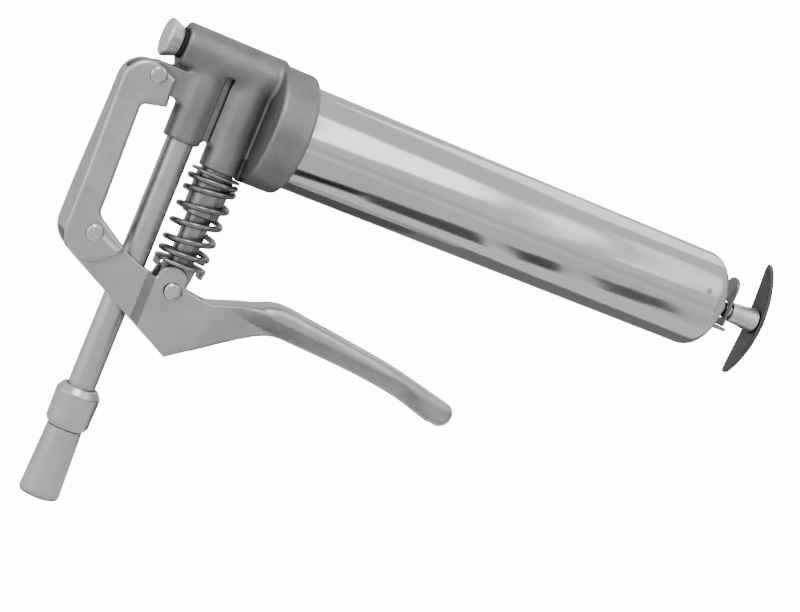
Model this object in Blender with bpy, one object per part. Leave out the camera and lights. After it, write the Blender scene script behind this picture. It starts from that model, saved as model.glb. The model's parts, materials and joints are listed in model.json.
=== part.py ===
"""Pistol-grip mini grease gun for a 3 oz cartridge, as an assembly of its separate pieces.

Axes while modelling: +X runs along the barrel, away from the pump head; the extension tube hangs
along -Z; Y = 0 is the plane that halves the gun. The barrel's axis crosses the tube's axis at
(0, 0, 0). The empty "gun" then lifts everything, so that the coupler's nose stands at Z = 0 and
the middle of the length is at X = 0.
"""

import math

import bmesh
import bpy
from mathutils import Matrix, Vector

MM = 0.001
GAP = 0.3 * MM                   # clearance kept between pieces that touch on the real gun

# Barrel and its cartridge chamber
BARREL_R = 19.0 * MM
BARREL_WALL = 0.9 * MM
BARREL_LENGTH = 191.5 * MM
BARREL_CORNER = 6.0 * MM         # rounding between the barrel's side and its end
GASKET_T = 2.0 * MM

# Pump head
CUP_WALL = 2.9 * MM
CUP_DEPTH = 11.5 * MM            # how deep the barrel's socket is
CUP_FLOOR = 2.0 * MM
TOP_BOSS_R = 8.0 * MM            # horizontal boss that holds the bleed plug
TOP_BOSS_RISE = 1.2 * MM         # how far it stands above the cup
HEAD_LEFT = -12.0 * MM           # left end face of that boss
OUTLET_BOSS_R = 6.7 * MM
OUTLET_BOSS_LOW = -16.3 * MM
PLUNGER_X = 16.5 * MM            # the plunger's axis
PLUNGER_BOSS_R = 7.2 * MM
HEAD_WEB = 4.2 * MM              # half thickness of the casting between its bosses
LUG_R = 4.6 * MM

# Pump
PLUNGER_R = 4.7 * MM
PLUNGER_TOP = -10.0 * MM
GLAND_R = 6.8 * MM
GLAND_LENGTH = 16.0 * MM
SPRING_R = 8.4 * MM              # middle of the wire
SPRING_WIRE_R = 0.9 * MM
SPRING_TURNS = 6.0
SEAT_T = 1.2 * MM
CHECK_BALL_R = 2.2 * MM

# Linkage: pivots in the XZ plane
PIN_R = 2.0 * MM
PIN_HEAD_R = 3.1 * MM
PIN_HEAD_T = 0.8 * MM
LINK_PIN = (-17.0 * MM, 2.4 * MM)
LEVER_PIN = (-18.0 * MM, -55.6 * MM)
PLUNGER_PIN_Z = -66.3 * MM
PLATE = 1.5 * MM                 # sheet that the link and the lever are pressed from
EYE_HALF = 3.2 * MM              # half thickness of the plunger's flat end
LINK_WIDTH = 10.0 * MM           # width of the link's upright arm
LINK_EAR_R = 10.5 * MM
LINK_TAPER = 3.2 * MM            # how much each cheek closes in from the lever up to the head
SLOT_PLAY = 0.9 * MM             # how far the plunger pin can run along the lever's slot
GRIP_LENGTH = 118.6 * MM         # from the plunger pin to the middle of the lever's round tip
GRIP_HALF = 7.2 * MM             # half width of the grip across the gun
GRIP_TIP_R = 5.2 * MM
HEEL_DROP = 23.3 * MM            # lowest corner of the lever under the plunger pin

# Extension tube and coupler
TUBE_R = 5.0 * MM
TUBE_BORE_R = 2.0 * MM
TUBE_LENGTH = 107.6 * MM
COUPLER_R = 8.1 * MM
COUPLER_COLLAR = 15.4 * MM
SLEEVE_R = 6.9 * MM
SLEEVE_LENGTH = 26.0 * MM
SLEEVE_TAPER = 0.5 * MM          # how much wider the sleeve is at the nose than at its middle
MOUTH_LIP = 1.1 * MM             # how far the sleeve's mouth closes in on the jaws
CONE_HEIGHT = 6.4 * MM           # height over which it does
MOUTH_FLAT = 1.6 * MM            # straight part of the mouth under that cone
JAW_TRAVEL = 2.0 * MM

# Follower, rod and handle
ROD_R = 3.0 * MM
ROD_OUT = 23.8 * MM              # rod showing between the barrel's end and the handle at rest
LOCK_OUT = 9.0 * MM              # rod lock's distance from the barrel's end
LOCK_TOP = 13.4 * MM             # height of the rod lock above the rod's axis
HANDLE_SPAN = 47.0 * MM
HANDLE_WIDTH = 9.6 * MM
HANDLE_T = 2.0 * MM
HANDLE_ARCH = 4.0 * MM           # how far the handle's tips bend back towards the barrel

# Values that follow from the ones above
CUP_BORE_R = BARREL_R + GAP
CUP_R = CUP_BORE_R + CUP_WALL
CUP_BACK = PLUNGER_X + PLUNGER_BOSS_R - 0.2 * MM
CUP_MOUTH = CUP_BACK + CUP_FLOOR + CUP_DEPTH
TOP_BOSS_Z = CUP_R + TOP_BOSS_RISE - TOP_BOSS_R
GASKET_X = CUP_BACK + CUP_FLOOR + GAP
BARREL_X = GASKET_X + GASKET_T + GAP
BARREL_END = BARREL_X + BARREL_LENGTH
PLUNGER_BOSS_LOW = -CUP_R + 0.7 * MM
GLAND_FLANGE_Z = -CUP_R - GAP
SPRING_TOP = GLAND_FLANGE_Z - 0.8 * MM - GAP
EAR_R = 5.6 * MM
EAR_TOP = PLUNGER_PIN_Z + 8.9 * MM
SEAT_LOW = EAR_TOP + 0.4 * MM
SEAT_TOP = SEAT_LOW + SEAT_T
SEAT_R = SPRING_R + SPRING_WIRE_R + GAP
LEVER_WIDE = TUBE_R + GAP + 0.05 * MM + PLATE     # outer half width where it straddles the tube
LEVER_NARROW = EYE_HALF + GAP + PLATE             # outer half width at the plunger's eye
LINK_HALF = LEVER_WIDE + GAP + 0.05 * MM + PLATE  # outer half width at the lever
LINK_TOP_HALF = LINK_HALF - LINK_TAPER            # outer half width at the head's lug
LUG_HALF = LINK_TOP_HALF - PLATE - GAP
TUBE_TOP = OUTLET_BOSS_LOW + 7.0 * MM
TUBE_LOW = TUBE_TOP - TUBE_LENGTH
COUPLER_TOP = TUBE_LOW + 7.4 * MM
COUPLER_SHOULDER = COUPLER_TOP - COUPLER_COLLAR
SLEEVE_TOP = COUPLER_SHOULDER - GAP
NOSE_Z = SLEEVE_TOP - SLEEVE_LENGTH
SLEEVE_BORE_R = SLEEVE_R - 1.5 * MM
MOUTH_R = SLEEVE_BORE_R - MOUTH_LIP
JAW_CONE = math.atan(MOUTH_LIP / CONE_HEIGHT)
FOLLOWER_X = BARREL_X + 10.0 * MM                 # front of the follower at rest
HANDLE_X = BARREL_END + ROD_OUT
LINK_LEFT = LEVER_PIN[0] - LINK_EAR_R
OVERALL_LEFT = LINK_LEFT
RIVET_TAIL = 1.2 * MM                             # the rod's riveted end outside the handle
OVERALL_RIGHT = HANDLE_X + HANDLE_T + GAP + RIVET_TAIL


def clear_scene():
    for old in list(bpy.data.objects):
        bpy.data.objects.remove(old, do_unlink=True)


def paint(name, grey, roughness, metallic, tint=(1.0, 1.0, 1.0)):
    """A plain finish: a grey level with a tint, its roughness and how metallic it is."""
    finish = bpy.data.materials.new(name)
    finish.use_nodes = True
    shader = finish.node_tree.nodes["Principled BSDF"]
    colour = [grey * part for part in tint]
    shader.inputs["Base Color"].default_value = (*colour, 1.0)
    shader.inputs["Roughness"].default_value = roughness
    shader.inputs["Metallic"].default_value = metallic
    finish.diffuse_color = (*colour, 1.0)
    return finish


def empty(name, at, parent=None):
    """A joint's empty, on its axis. `at` is in the modelling axes."""
    pivot = bpy.data.objects.new(name, None)
    pivot["at"] = tuple(at)
    pivot.parent = parent
    base = Vector(parent["at"]) if parent else Vector((0, 0, 0))
    pivot.location = Vector(at) - base
    bpy.context.scene.collection.objects.link(pivot)
    return pivot


def node(name, mesh, body, finish, smooth=40.0):
    """A sub-part from a mesh in the modelling axes; its origin moves to its body's empty."""
    mesh.transform(Matrix.Translation(-Vector(body["at"])))
    mesh.name = name
    mesh.materials.clear()
    mesh.materials.append(finish)
    mesh.shade_smooth()
    mesh.set_sharp_from_angle(angle=math.radians(smooth))
    piece = bpy.data.objects.new(name, mesh)
    piece.parent = body
    bpy.context.scene.collection.objects.link(piece)
    return piece


def mesh_from(bm):
    bmesh.ops.remove_doubles(bm, verts=bm.verts, dist=1e-7)
    bmesh.ops.recalc_face_normals(bm, faces=bm.faces)
    mesh = bpy.data.meshes.new("shape")
    bm.to_mesh(mesh)
    bm.free()
    return mesh


def turned(profile, axis="Z", at=(0, 0, 0), sides=32, turn=2 * math.pi, start=0.0):
    """A turned shape: a closed profile of (radius, height) pairs spun about an axis."""
    bm = bmesh.new()
    points = [bm.verts.new((radius, 0, height)) for radius, height in profile]
    if turn < 2 * math.pi:
        bm.faces.new(points)
    else:
        for first, second in zip(points, points[1:] + points[:1]):
            if first.co.x > 0 or second.co.x > 0:
                bm.edges.new((first, second))
    bmesh.ops.rotate(bm, verts=bm.verts, cent=(0, 0, 0), matrix=Matrix.Rotation(start, 3, "Z"))
    bmesh.ops.spin(bm, geom=bm.verts[:] + bm.edges[:] + bm.faces[:], cent=(0, 0, 0),
                   axis=(0, 0, 1), angle=turn, steps=sides, use_duplicate=False)
    aim = {"Z": Matrix(), "X": Matrix.Rotation(math.pi / 2, 4, "Y"),
           "Y": Matrix.Rotation(-math.pi / 2, 4, "X")}[axis]
    bm.transform(Matrix.Translation(at) @ aim)
    return mesh_from(bm)


def rod(radius, low, high, axis="Z", at=(0, 0, 0), sides=32):
    """A plain round bar between two heights on an axis."""
    return turned([(0, low), (radius, low), (radius, high), (0, high)], axis, at, sides)


def ring(inner, outer, low, high, axis="Z", at=(0, 0, 0), sides=32):
    """A plain round ring between two heights on an axis."""
    return turned([(inner, low), (outer, low), (outer, high), (inner, high)], axis, at, sides)


def plate(outline, low, high):
    """An outline of (x, z) points carried from Y = low to Y = high."""
    bm = bmesh.new()
    face = bm.faces.new([bm.verts.new((x, low, z)) for x, z in outline])
    grown = bmesh.ops.extrude_face_region(bm, geom=[face])
    moved = [item for item in grown["geom"] if isinstance(item, bmesh.types.BMVert)]
    bmesh.ops.translate(bm, verts=moved, vec=(0, high - low, 0))
    return mesh_from(bm)


def block(low, high):
    """A box between two corners."""
    outline = [(low[0], low[2]), (high[0], low[2]), (high[0], high[2]), (low[0], high[2])]
    return plate(outline, low[1], high[1])


def combined(base, others, operation):
    """Boolean of a mesh with a list of meshes, one after another.

    The exact solver leaves open seams where the pump bore meets the casting's thin walls, so
    these closed shapes are combined with the manifold solver.
    """
    for other in others:
        carrier = bpy.data.objects.new("carrier", base)
        tool = bpy.data.objects.new("tool", other)
        for used in (carrier, tool):
            bpy.context.scene.collection.objects.link(used)
        step = carrier.modifiers.new(operation.lower(), "BOOLEAN")
        step.operation = operation
        step.solver = "MANIFOLD"
        step.object = tool
        bpy.context.view_layer.update()
        graph = bpy.context.evaluated_depsgraph_get()
        base = bpy.data.meshes.new_from_object(carrier.evaluated_get(graph), depsgraph=graph)
        for used in (carrier, tool):
            bpy.data.objects.remove(used, do_unlink=True)
    return base


def joined(base, *others):
    return combined(base, others, "UNION")


def cut(base, *others):
    return combined(base, others, "DIFFERENCE")


def arc(centre, radius, first, last, steps):
    """Points on a circle from one angle to another, in degrees, anticlockwise in (x, z)."""
    angles = [math.radians(first + (last - first) * k / steps) for k in range(steps + 1)]
    return [(centre[0] + radius * math.cos(a), centre[1] + radius * math.sin(a)) for a in angles]


def smooth(points, steps):
    """A Catmull-Rom curve through the points, with `steps` chords between each pair."""
    ends = [points[0]] + list(points) + [points[-1]]
    line = []
    for before, here, there, after in zip(ends, ends[1:], ends[2:], ends[3:]):
        for k in range(steps):
            t = k / steps
            line.append(tuple(
                0.5 * (2 * p + (q - o) * t + (2 * o - 5 * p + 4 * q - r) * t * t
                       + (3 * p - o - 3 * q + r) * t ** 3)
                for o, p, q, r in zip(before, here, there, after)))
    return line + [points[-1]]


def coil(name, body, finish, axis, at, radius, wire_r, length, turns, sides=14, bevel=1):
    """A compression spring with a flat turn at each end, as a bevelled curve."""
    steps = int(turns * sides)
    rise = length - 2 * wire_r
    curve = bpy.data.curves.new(name, "CURVE")
    curve.dimensions = "3D"
    curve.bevel_depth = wire_r
    curve.bevel_resolution = bevel
    curve.use_fill_caps = True
    line = curve.splines.new("POLY")
    line.points.add(steps)
    closed = 1.05 * 2 * wire_r           # height that one flat turn at an end climbs
    middle = turns - 2.0
    for k in range(steps + 1):
        turn = turns * k / steps
        if turn < 1:
            height = closed * turn
        elif turn > turns - 1:
            height = rise - closed * (turns - turn)
        else:
            height = closed + (rise - 2 * closed) * (turn - 1) / middle
        a, b = radius * math.cos(2 * math.pi * turn), radius * math.sin(2 * math.pi * turn)
        height += wire_r
        point = {"Z": (a, b, height), "X": (height, a, b)}[axis]
        line.points[k].co = (*(Vector(at) + Vector(point) - Vector(body["at"])), 1.0)
    curve.materials.append(finish)
    piece = bpy.data.objects.new(name, curve)
    piece.parent = body
    bpy.context.scene.collection.objects.link(piece)
    return piece


def rivet(at, half_grip, head_r=PIN_HEAD_R):
    """A pivot pin along Y with a flat head outside each cheek that it joins."""
    inner, outer = half_grip + GAP, half_grip + GAP + PIN_HEAD_T
    profile = [(0, -outer), (head_r, -outer), (head_r, -inner), (PIN_R, -inner),
               (PIN_R, inner), (head_r, inner), (head_r, outer), (0, outer)]
    return turned(profile, "Y", (at[0], 0, at[1]), sides=20)


def pin_hole(at, half):
    return rod(PIN_R + GAP, -half, half, "Y", (at[0], 0, at[1]), sides=20)


def flared(outline, stations, along=0):
    """A plate whose half width changes along X (or Z, along=2): `stations` lists (place, width)."""
    reach = max(width for _, width in stations)
    mesh = plate(outline, -reach, reach)
    bm = bmesh.new()
    bm.from_mesh(mesh)
    for place, _ in stations:
        across = Vector((0, 0, 0))
        across[along] = 1.0
        bmesh.ops.bisect_plane(bm, geom=bm.verts[:] + bm.edges[:] + bm.faces[:], dist=1e-7,
                               plane_co=across * place, plane_no=across)
    for vert in bm.verts:
        place = vert.co[along]
        width = stations[0][1] if place <= stations[0][0] else stations[-1][1]
        for (low, first), (high, second) in zip(stations, stations[1:]):
            if low <= place <= high:
                width = first + (second - first) * (place - low) / (high - low)
        vert.co.y = math.copysign(width, vert.co.y)
    return mesh_from(bm)


# ---- Pump head -------------------------------------------------------------------------------

def head_casting():
    """One casting: barrel cup, bleed boss, outlet boss, plunger boss, web and link lug."""
    cup = turned([(0, CUP_BACK), (CUP_R - 1.0 * MM, CUP_BACK), (CUP_R, CUP_BACK + 1.0 * MM),
                  (CUP_R, CUP_MOUTH - 0.6 * MM), (CUP_R - 0.6 * MM, CUP_MOUTH), (0, CUP_MOUTH)],
                 "X", sides=48)
    top_end = CUP_BACK - 1.5 * MM
    inside = TOP_BOSS_Z + 1.0 * MM       # the bosses end inside the horizontal one
    top_boss = rod(TOP_BOSS_R, HEAD_LEFT, top_end, "X", (0, 0, TOP_BOSS_Z))
    outlet = turned([(0, OUTLET_BOSS_LOW), (OUTLET_BOSS_R - 0.7 * MM, OUTLET_BOSS_LOW),
                     (OUTLET_BOSS_R, OUTLET_BOSS_LOW + 1.2 * MM), (OUTLET_BOSS_R, inside),
                     (0, inside)])
    pump = rod(PLUNGER_BOSS_R, PLUNGER_BOSS_LOW, inside + 0.7 * MM, "Z", (PLUNGER_X, 0, 0))
    web = block((0, -HEAD_WEB, OUTLET_BOSS_LOW + 3.0 * MM),
                (CUP_BACK + 1.3 * MM, HEAD_WEB, inside - 0.4 * MM))
    lug_outline = (arc(LINK_PIN, LUG_R, 90, 270, 10)
                   + [(-2.0 * MM, LINK_PIN[1] - LUG_R - 1.5 * MM), (-2.0 * MM, LINK_PIN[1] + LUG_R)])
    lug = plate(lug_outline, -LUG_HALF, LUG_HALF)
    body = joined(cup, top_boss, outlet, pump, web, lug)

    cup_floor = CUP_BACK + CUP_FLOOR
    socket = rod(CUP_BORE_R, cup_floor, CUP_MOUTH + 1 * MM, "X", sides=48)
    slot_low = PLUNGER_BOSS_LOW - 1 * MM
    slot_left = OUTLET_BOSS_R - 1.3 * MM
    slot_right = PLUNGER_X - PLUNGER_BOSS_R + 0.3 * MM
    slots = [block((slot_left, side, slot_low), (slot_right, side + 6 * MM, TOP_BOSS_Z - 4.5 * MM))
             for side in (HEAD_WEB - 0.1 * MM, -HEAD_WEB + 0.1 * MM - 6 * MM)]
    pump_bore = turned([(0, PLUNGER_BOSS_LOW - 1 * MM), (GLAND_R - 0.6 * MM, PLUNGER_BOSS_LOW - 1 * MM),
                        (GLAND_R - 0.6 * MM, -12 * MM), (PLUNGER_R + GAP, -12 * MM),
                        (PLUNGER_R + GAP, 6 * MM), (0, 6 * MM)], "Z", (PLUNGER_X, 0, 0))
    feed = rod(2.6 * MM, PLUNGER_X, cup_floor + 1 * MM, "X", (0, 0, -4.0 * MM), sides=20)
    cross = rod(1.5 * MM, 0, PLUNGER_X, "X", (0, 0, 4.0 * MM), sides=16)
    outlet_bore = turned([(0, OUTLET_BOSS_LOW - 1 * MM), (TUBE_R + GAP, OUTLET_BOSS_LOW - 1 * MM),
                          (TUBE_R + GAP, TUBE_TOP + GAP), (3.2 * MM, TUBE_TOP + GAP),
                          (3.2 * MM, 1 * MM), (1.3 * MM, 1 * MM), (1.3 * MM, 4 * MM), (0, 4 * MM)])
    bleed = turned([(0, HEAD_LEFT - 1 * MM), (4.0 * MM, HEAD_LEFT - 1 * MM), (4.0 * MM, 2 * MM),
                    (1.2 * MM, 2 * MM), (1.2 * MM, cup_floor + 1 * MM), (0, cup_floor + 1 * MM)],
                   "X", (0, 0, TOP_BOSS_Z), sides=24)
    hole = pin_hole(LINK_PIN, LUG_HALF + 1 * MM)
    return cut(body, socket, *slots, pump_bore, feed, cross, outlet_bore, bleed, hole)


def build_head(body, finishes):
    node("head_casting", head_casting(), body, finishes["casting"])
    node("link_pin", rivet(LINK_PIN, LINK_TOP_HALF), body, finishes["steel"])
    gland = turned([(PLUNGER_R + GAP, PLUNGER_BOSS_LOW + 6.2 * MM), (GLAND_R - 0.9 * MM, PLUNGER_BOSS_LOW + 6.2 * MM),
                    (GLAND_R - 0.9 * MM, GLAND_FLANGE_Z), (SEAT_R - 0.2 * MM, GLAND_FLANGE_Z),
                    (SEAT_R - 0.2 * MM, GLAND_FLANGE_Z - 0.8 * MM), (GLAND_R, GLAND_FLANGE_Z - 0.8 * MM),
                    (GLAND_R, GLAND_FLANGE_Z - GLAND_LENGTH), (PLUNGER_R + GAP, GLAND_FLANGE_Z - GLAND_LENGTH)],
                   "Z", (PLUNGER_X, 0, 0))
    node("plunger_gland", gland, body, finishes["dark_steel"])
    packing = ring(PLUNGER_R + GAP, GLAND_R - 0.9 * MM, PLUNGER_BOSS_LOW + 6.5 * MM, -12 * MM - GAP,
                   "Z", (PLUNGER_X, 0, 0))
    node("plunger_packing", packing, body, finishes["rubber"])
    tube = ring(TUBE_BORE_R, TUBE_R, TUBE_LOW, TUBE_TOP, sides=28)
    node("extension_tube", tube, body, finishes["tube"])
    coil("return_spring", body, finishes["dark_steel"], "Z", (PLUNGER_X, 0, SEAT_TOP + GAP),
         SPRING_R, SPRING_WIRE_R, SPRING_TOP - SEAT_TOP - GAP, SPRING_TURNS)


def build_outlet_check(head, ball_body, finishes):
    """Ball valve over the extension tube: the ball shuts upwards against the casting's port."""
    centre = ball_body["at"][2]
    ball = bmesh.new()
    bmesh.ops.create_uvsphere(ball, u_segments=14, v_segments=8, radius=CHECK_BALL_R)
    bmesh.ops.translate(ball, verts=ball.verts, vec=(0, 0, centre))
    node("outlet_check_ball", mesh_from(ball), ball_body, finishes["steel"])
    low, high = TUBE_TOP + GAP, centre - CHECK_BALL_R - 0.2 * MM
    coil("outlet_check_spring", head, finishes["steel"], "Z", (0, 0, low),
         2.4 * MM, 0.25 * MM, high - low, 4.0, sides=9, bevel=0)


# ---- Linkage ---------------------------------------------------------------------------------

def link_mesh():
    """Pressed C-shaped channel: two cheeks joined by a web along the upright arm's outer edge."""
    left, right = LINK_LEFT, LINK_LEFT + LINK_WIDTH
    x1, z1 = LINK_PIN
    x2, z2 = LEVER_PIN
    corner = 9.0 * MM
    outline = (
        [(x1 + 7.1 * MM, z1 - 9.6 * MM), (x1 + 6.6 * MM, z1 + 0.8 * MM)]
        + arc((left + corner, z1 - 4.9 * MM), corner, 76, 180, 9)
        + arc(LEVER_PIN, LINK_EAR_R, 180, 322, 12)
        + [(x2 + 12.2 * MM, z2 - 3.6 * MM), (x2 + 11.8 * MM, z2 - 1.4 * MM)]
        + [(right + 1.4 * MM, z2 + 5.6 * MM)]
        + arc((right + 3.0 * MM, z2 + 8.3 * MM), 3.0 * MM, 215, 180, 3)
        + arc((right + 1.6 * MM, z1 - 12.8 * MM), 1.6 * MM, 180, 95, 3))
    bend_low, bend_top = LEVER_PIN[1] + 14 * MM, LINK_PIN[1] - 12 * MM
    stations = [(bend_low, LINK_HALF), (bend_top, LINK_TOP_HALF)]
    shell = flared(outline, stations, along=2)
    web_x, far = left + PLATE, x2 + 40 * MM
    web_top, web_low = z1 - 1.4 * MM, z2 - 2.9 * MM
    over, under, beyond = z1 + 30 * MM, z2 - 30 * MM, left - 5 * MM
    tunnel = [(beyond, under), (far, under), (far, over), (beyond, over), (beyond, web_top),
              (web_x, web_top), (web_x, web_low), (beyond, web_low)]
    hollow = flared(tunnel, [(z, width - PLATE) for z, width in stations], along=2)
    holes = [pin_hole(at, LINK_HALF + 1 * MM) for at in (LINK_PIN, LEVER_PIN)]
    return cut(shell, hollow, *holes)


def grip(part, drop):
    """A point on the lever's grip: a share of its length past the plunger pin, and a height."""
    return (PLUNGER_X + part * GRIP_LENGTH, PLUNGER_PIN_Z + drop * MM)


def lever_mesh():
    """Pressed channel: ears at both pivots, a deep heel and an arched grip open underneath."""
    x2, z2 = LEVER_PIN
    pivot = (PLUNGER_X, PLUNGER_PIN_Z)
    heel = (PLUNGER_X + 6.0 * MM, PLUNGER_PIN_Z - HEEL_DROP)
    ear = (PLUNGER_X - 1.6 * MM, EAR_TOP - EAR_R)
    top = smooth([grip(0.125, 0.2), grip(0.245, 4.4), grip(0.345, 7.9), grip(0.47, 6.2),
                  grip(0.60, 3.9), grip(0.77, 0.6), grip(0.905, -3.1)], 3)
    tip = arc(grip(0.965, -9.6), GRIP_TIP_R, 48, -112, 7)
    under = smooth([grip(0.92, -14.0), grip(0.80, -9.6), grip(0.645, -6.4), grip(0.43, -3.9),
                    grip(0.335, -3.6), grip(0.25, -8.2)], 3)
    near_tube = TUBE_R + 3.5 * MM
    outline = (
        arc(LEVER_PIN, 8.2 * MM, 110, 205, 7)
        + [(x2 - 5.1 * MM, z2 - 9.4 * MM)]
        + [heel]
        + under[::-1]
        + tip[::-1]
        + top[::-1]
        + [(ear[0] + EAR_R + 1.3 * MM, PLUNGER_PIN_Z + 1.6 * MM)]
        + [(ear[0] + EAR_R, ear[1] - 0.6 * MM)]
        + arc(ear, EAR_R, 0, 180, 9)
        + [(near_tube, ear[1] - 0.4 * MM)]
        + [(-3.6 * MM, z2 - 3.4 * MM)])
    joggle = TUBE_R + 0.2 * MM
    root, full = PLUNGER_X + 12 * MM, PLUNGER_X + 42 * MM
    stations = [(joggle, LEVER_WIDE), (joggle + 3.6 * MM, LEVER_NARROW), (root, LEVER_NARROW),
                (full, GRIP_HALF), (PLUNGER_X + 0.75 * GRIP_LENGTH, GRIP_HALF),
                (PLUNGER_X + GRIP_LENGTH, GRIP_HALF - 1.6 * MM)]
    shell = flared(outline, stations)

    drop = PLATE
    roof = [(x, z - drop) for x, z in top]
    nose = arc(grip(0.965, -9.6), GRIP_TIP_R - PLATE, 48, -20, 4)
    below = PLUNGER_PIN_Z - 60 * MM
    tunnel = ([(x2 - 30 * MM, z2 + 40 * MM), (roof[0][0] - 1.6 * MM, z2 + 40 * MM),
               (roof[0][0] - 1.6 * MM, roof[0][1])]
              + roof + nose + [(nose[-1][0], below), (x2 - 30 * MM, below)])
    thinner = [(x, width - PLATE) for x, width in stations]
    hollow = flared(tunnel[::-1], thinner)
    slot_half = SLOT_PLAY + PIN_R
    slot = plate(arc((pivot[0] + SLOT_PLAY, pivot[1]), PIN_R + GAP, -90, 90, 8)
                 + arc((pivot[0] - SLOT_PLAY, pivot[1]), PIN_R + GAP, 90, 270, 8),
                 -LEVER_WIDE - slot_half, LEVER_WIDE + slot_half)
    hole = pin_hole(LEVER_PIN, LEVER_WIDE + 1 * MM)
    return cut(shell, hollow, slot, hole)


def build_linkage(link_body, lever_body, finishes):
    node("link", link_mesh(), link_body, finishes["pressing"])
    node("lever_pin", rivet(LEVER_PIN, LINK_HALF), link_body, finishes["steel"])
    node("lever", lever_mesh(), lever_body, finishes["pressing"])


def build_plunger(body, finishes):
    round_part = rod(PLUNGER_R, SEAT_LOW + 0.1 * MM, PLUNGER_TOP, "Z", (PLUNGER_X, 0, 0))
    wide = PLUNGER_R + 0.9 * MM
    eye_r = 4.6 * MM
    eye = plate([(PLUNGER_X + wide, SEAT_LOW - GAP), (PLUNGER_X - wide, SEAT_LOW - GAP)]
                + [(PLUNGER_X - wide, SEAT_LOW - 2.2 * MM)]
                + arc((PLUNGER_X, PLUNGER_PIN_Z), eye_r, 180, 360, 10)
                + [(PLUNGER_X + wide, SEAT_LOW - 2.2 * MM)], -EYE_HALF, EYE_HALF)
    neck = rod(EYE_HALF, SEAT_LOW - 3 * MM, SEAT_LOW + 2 * MM, "Z", (PLUNGER_X, 0, 0))
    hole = rod(PIN_R + GAP, -EYE_HALF - 1 * MM, EYE_HALF + 1 * MM, "Y",
               (PLUNGER_X, 0, PLUNGER_PIN_Z), sides=20)
    node("plunger_rod", cut(joined(round_part, neck, eye), hole), body, finishes["dark_steel"])
    seat = ring(PLUNGER_R + GAP, SEAT_R, SEAT_LOW, SEAT_TOP, "Z", (PLUNGER_X, 0, 0))
    tab = 1.3 * MM
    tabs = [block((PLUNGER_X + low, -EYE_HALF, SEAT_LOW - 2.6 * MM),
                  (PLUNGER_X + high, EYE_HALF, SEAT_TOP - 0.3 * MM))
            for low, high in ((SEAT_R - 0.6 * MM - tab, SEAT_R - 0.6 * MM),
                              (-SEAT_R + 0.6 * MM, -SEAT_R + 0.6 * MM + tab))]
    node("spring_seat", joined(seat, *tabs), body, finishes["dark_steel"])
    node("plunger_pin", rivet((PLUNGER_X, PLUNGER_PIN_Z), LEVER_NARROW), body, finishes["steel"])


# ---- Barrel, follower and handle -------------------------------------------------------------

def build_barrel(gasket_body, body, finishes):
    gasket = ring(BARREL_R - 3.4 * MM, BARREL_R, GASKET_X, GASKET_X + GASKET_T, "X", sides=40)
    node("barrel_gasket", gasket, gasket_body, finishes["rubber"])
    hole = ROD_R + 1.6 * MM
    inner = BARREL_R - BARREL_WALL
    bend = BARREL_CORNER
    outside = [(BARREL_R - bend + bend * math.sin(a), BARREL_END - bend + bend * math.cos(a))
               for a in (math.pi / 2 * (1 - k / 5) for k in range(6))]
    tight = bend - BARREL_WALL
    inside = [(BARREL_R - bend + tight * math.sin(a), BARREL_END - bend + tight * math.cos(a))
              for a in (math.pi / 2 * k / 5 for k in range(6))]
    profile = ([(BARREL_R, BARREL_X)] + outside + [(hole, BARREL_END)]
               + [(hole, BARREL_END - BARREL_WALL)] + inside + [(inner, BARREL_X)])
    node("barrel_tube", turned(profile, "X", sides=48), body, finishes["chrome"])
    bush_low, bush_high = BARREL_END - BARREL_WALL - GAP, BARREL_END + GAP
    bush = turned([(ROD_R + GAP, bush_low - 2 * MM), (hole + 2.6 * MM, bush_low - 2 * MM),
                   (hole + 2.6 * MM, bush_low), (hole - GAP, bush_low), (hole - GAP, bush_high),
                   (hole + 1.6 * MM, bush_high), (hole + 1.6 * MM, bush_high + 1.2 * MM),
                   (ROD_R + GAP, bush_high + 1.2 * MM)], "X", sides=28)
    shelf_top = -(ROD_R + 3.7 * MM)
    shelf = block((bush_high + 0.1 * MM, -4 * MM, shelf_top - 1.4 * MM),
                  (BARREL_END + LOCK_OUT + 2.3 * MM, 4 * MM, shelf_top))
    web = block((bush_high + 0.1 * MM, -4 * MM, shelf_top - 0.7 * MM),
                (bush_high + 1.1 * MM, 4 * MM, -(ROD_R + 1.4 * MM)))
    node("rod_guide_bush", joined(bush, shelf, web), body, finishes["dark_steel"])
    spring_low = FOLLOWER_X + 7.6 * MM
    spring_high = bush_low - 2 * MM - GAP
    coil("follower_spring", body, finishes["steel"], "X", (spring_low, 0, 0),
         BARREL_R - 6.5 * MM, 0.8 * MM, spring_high - spring_low, 18.0, sides=9, bevel=0)


def handle_mesh():
    """Pressed bar across the rod: pointed tips, arched back towards the barrel."""
    half, steps = HANDLE_SPAN / 2, 12
    bm = bmesh.new()
    rows = []
    for k in range(steps + 1):
        t = -1 + 2 * k / steps
        width = HANDLE_WIDTH / 2 * max(0.12, (1 - t * t) ** 0.6)
        x = HANDLE_X - HANDLE_ARCH * t * t
        z = half * t
        rows.append([bm.verts.new((x + dx, y, z)) for dx, y in
                     ((0, -width), (HANDLE_T, -width), (HANDLE_T, width), (0, width))])
    for first, second in zip(rows, rows[1:]):
        for k in range(4):
            bm.faces.new((first[k], first[(k + 1) % 4], second[(k + 1) % 4], second[k]))
    bm.faces.new(rows[0])
    bm.faces.new(rows[-1])
    bar = mesh_from(bm)
    hole = rod(ROD_R - 0.4 * MM, HANDLE_X - 5 * MM, HANDLE_X + 5 * MM, "X", sides=20)
    return cut(bar, hole)


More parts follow.
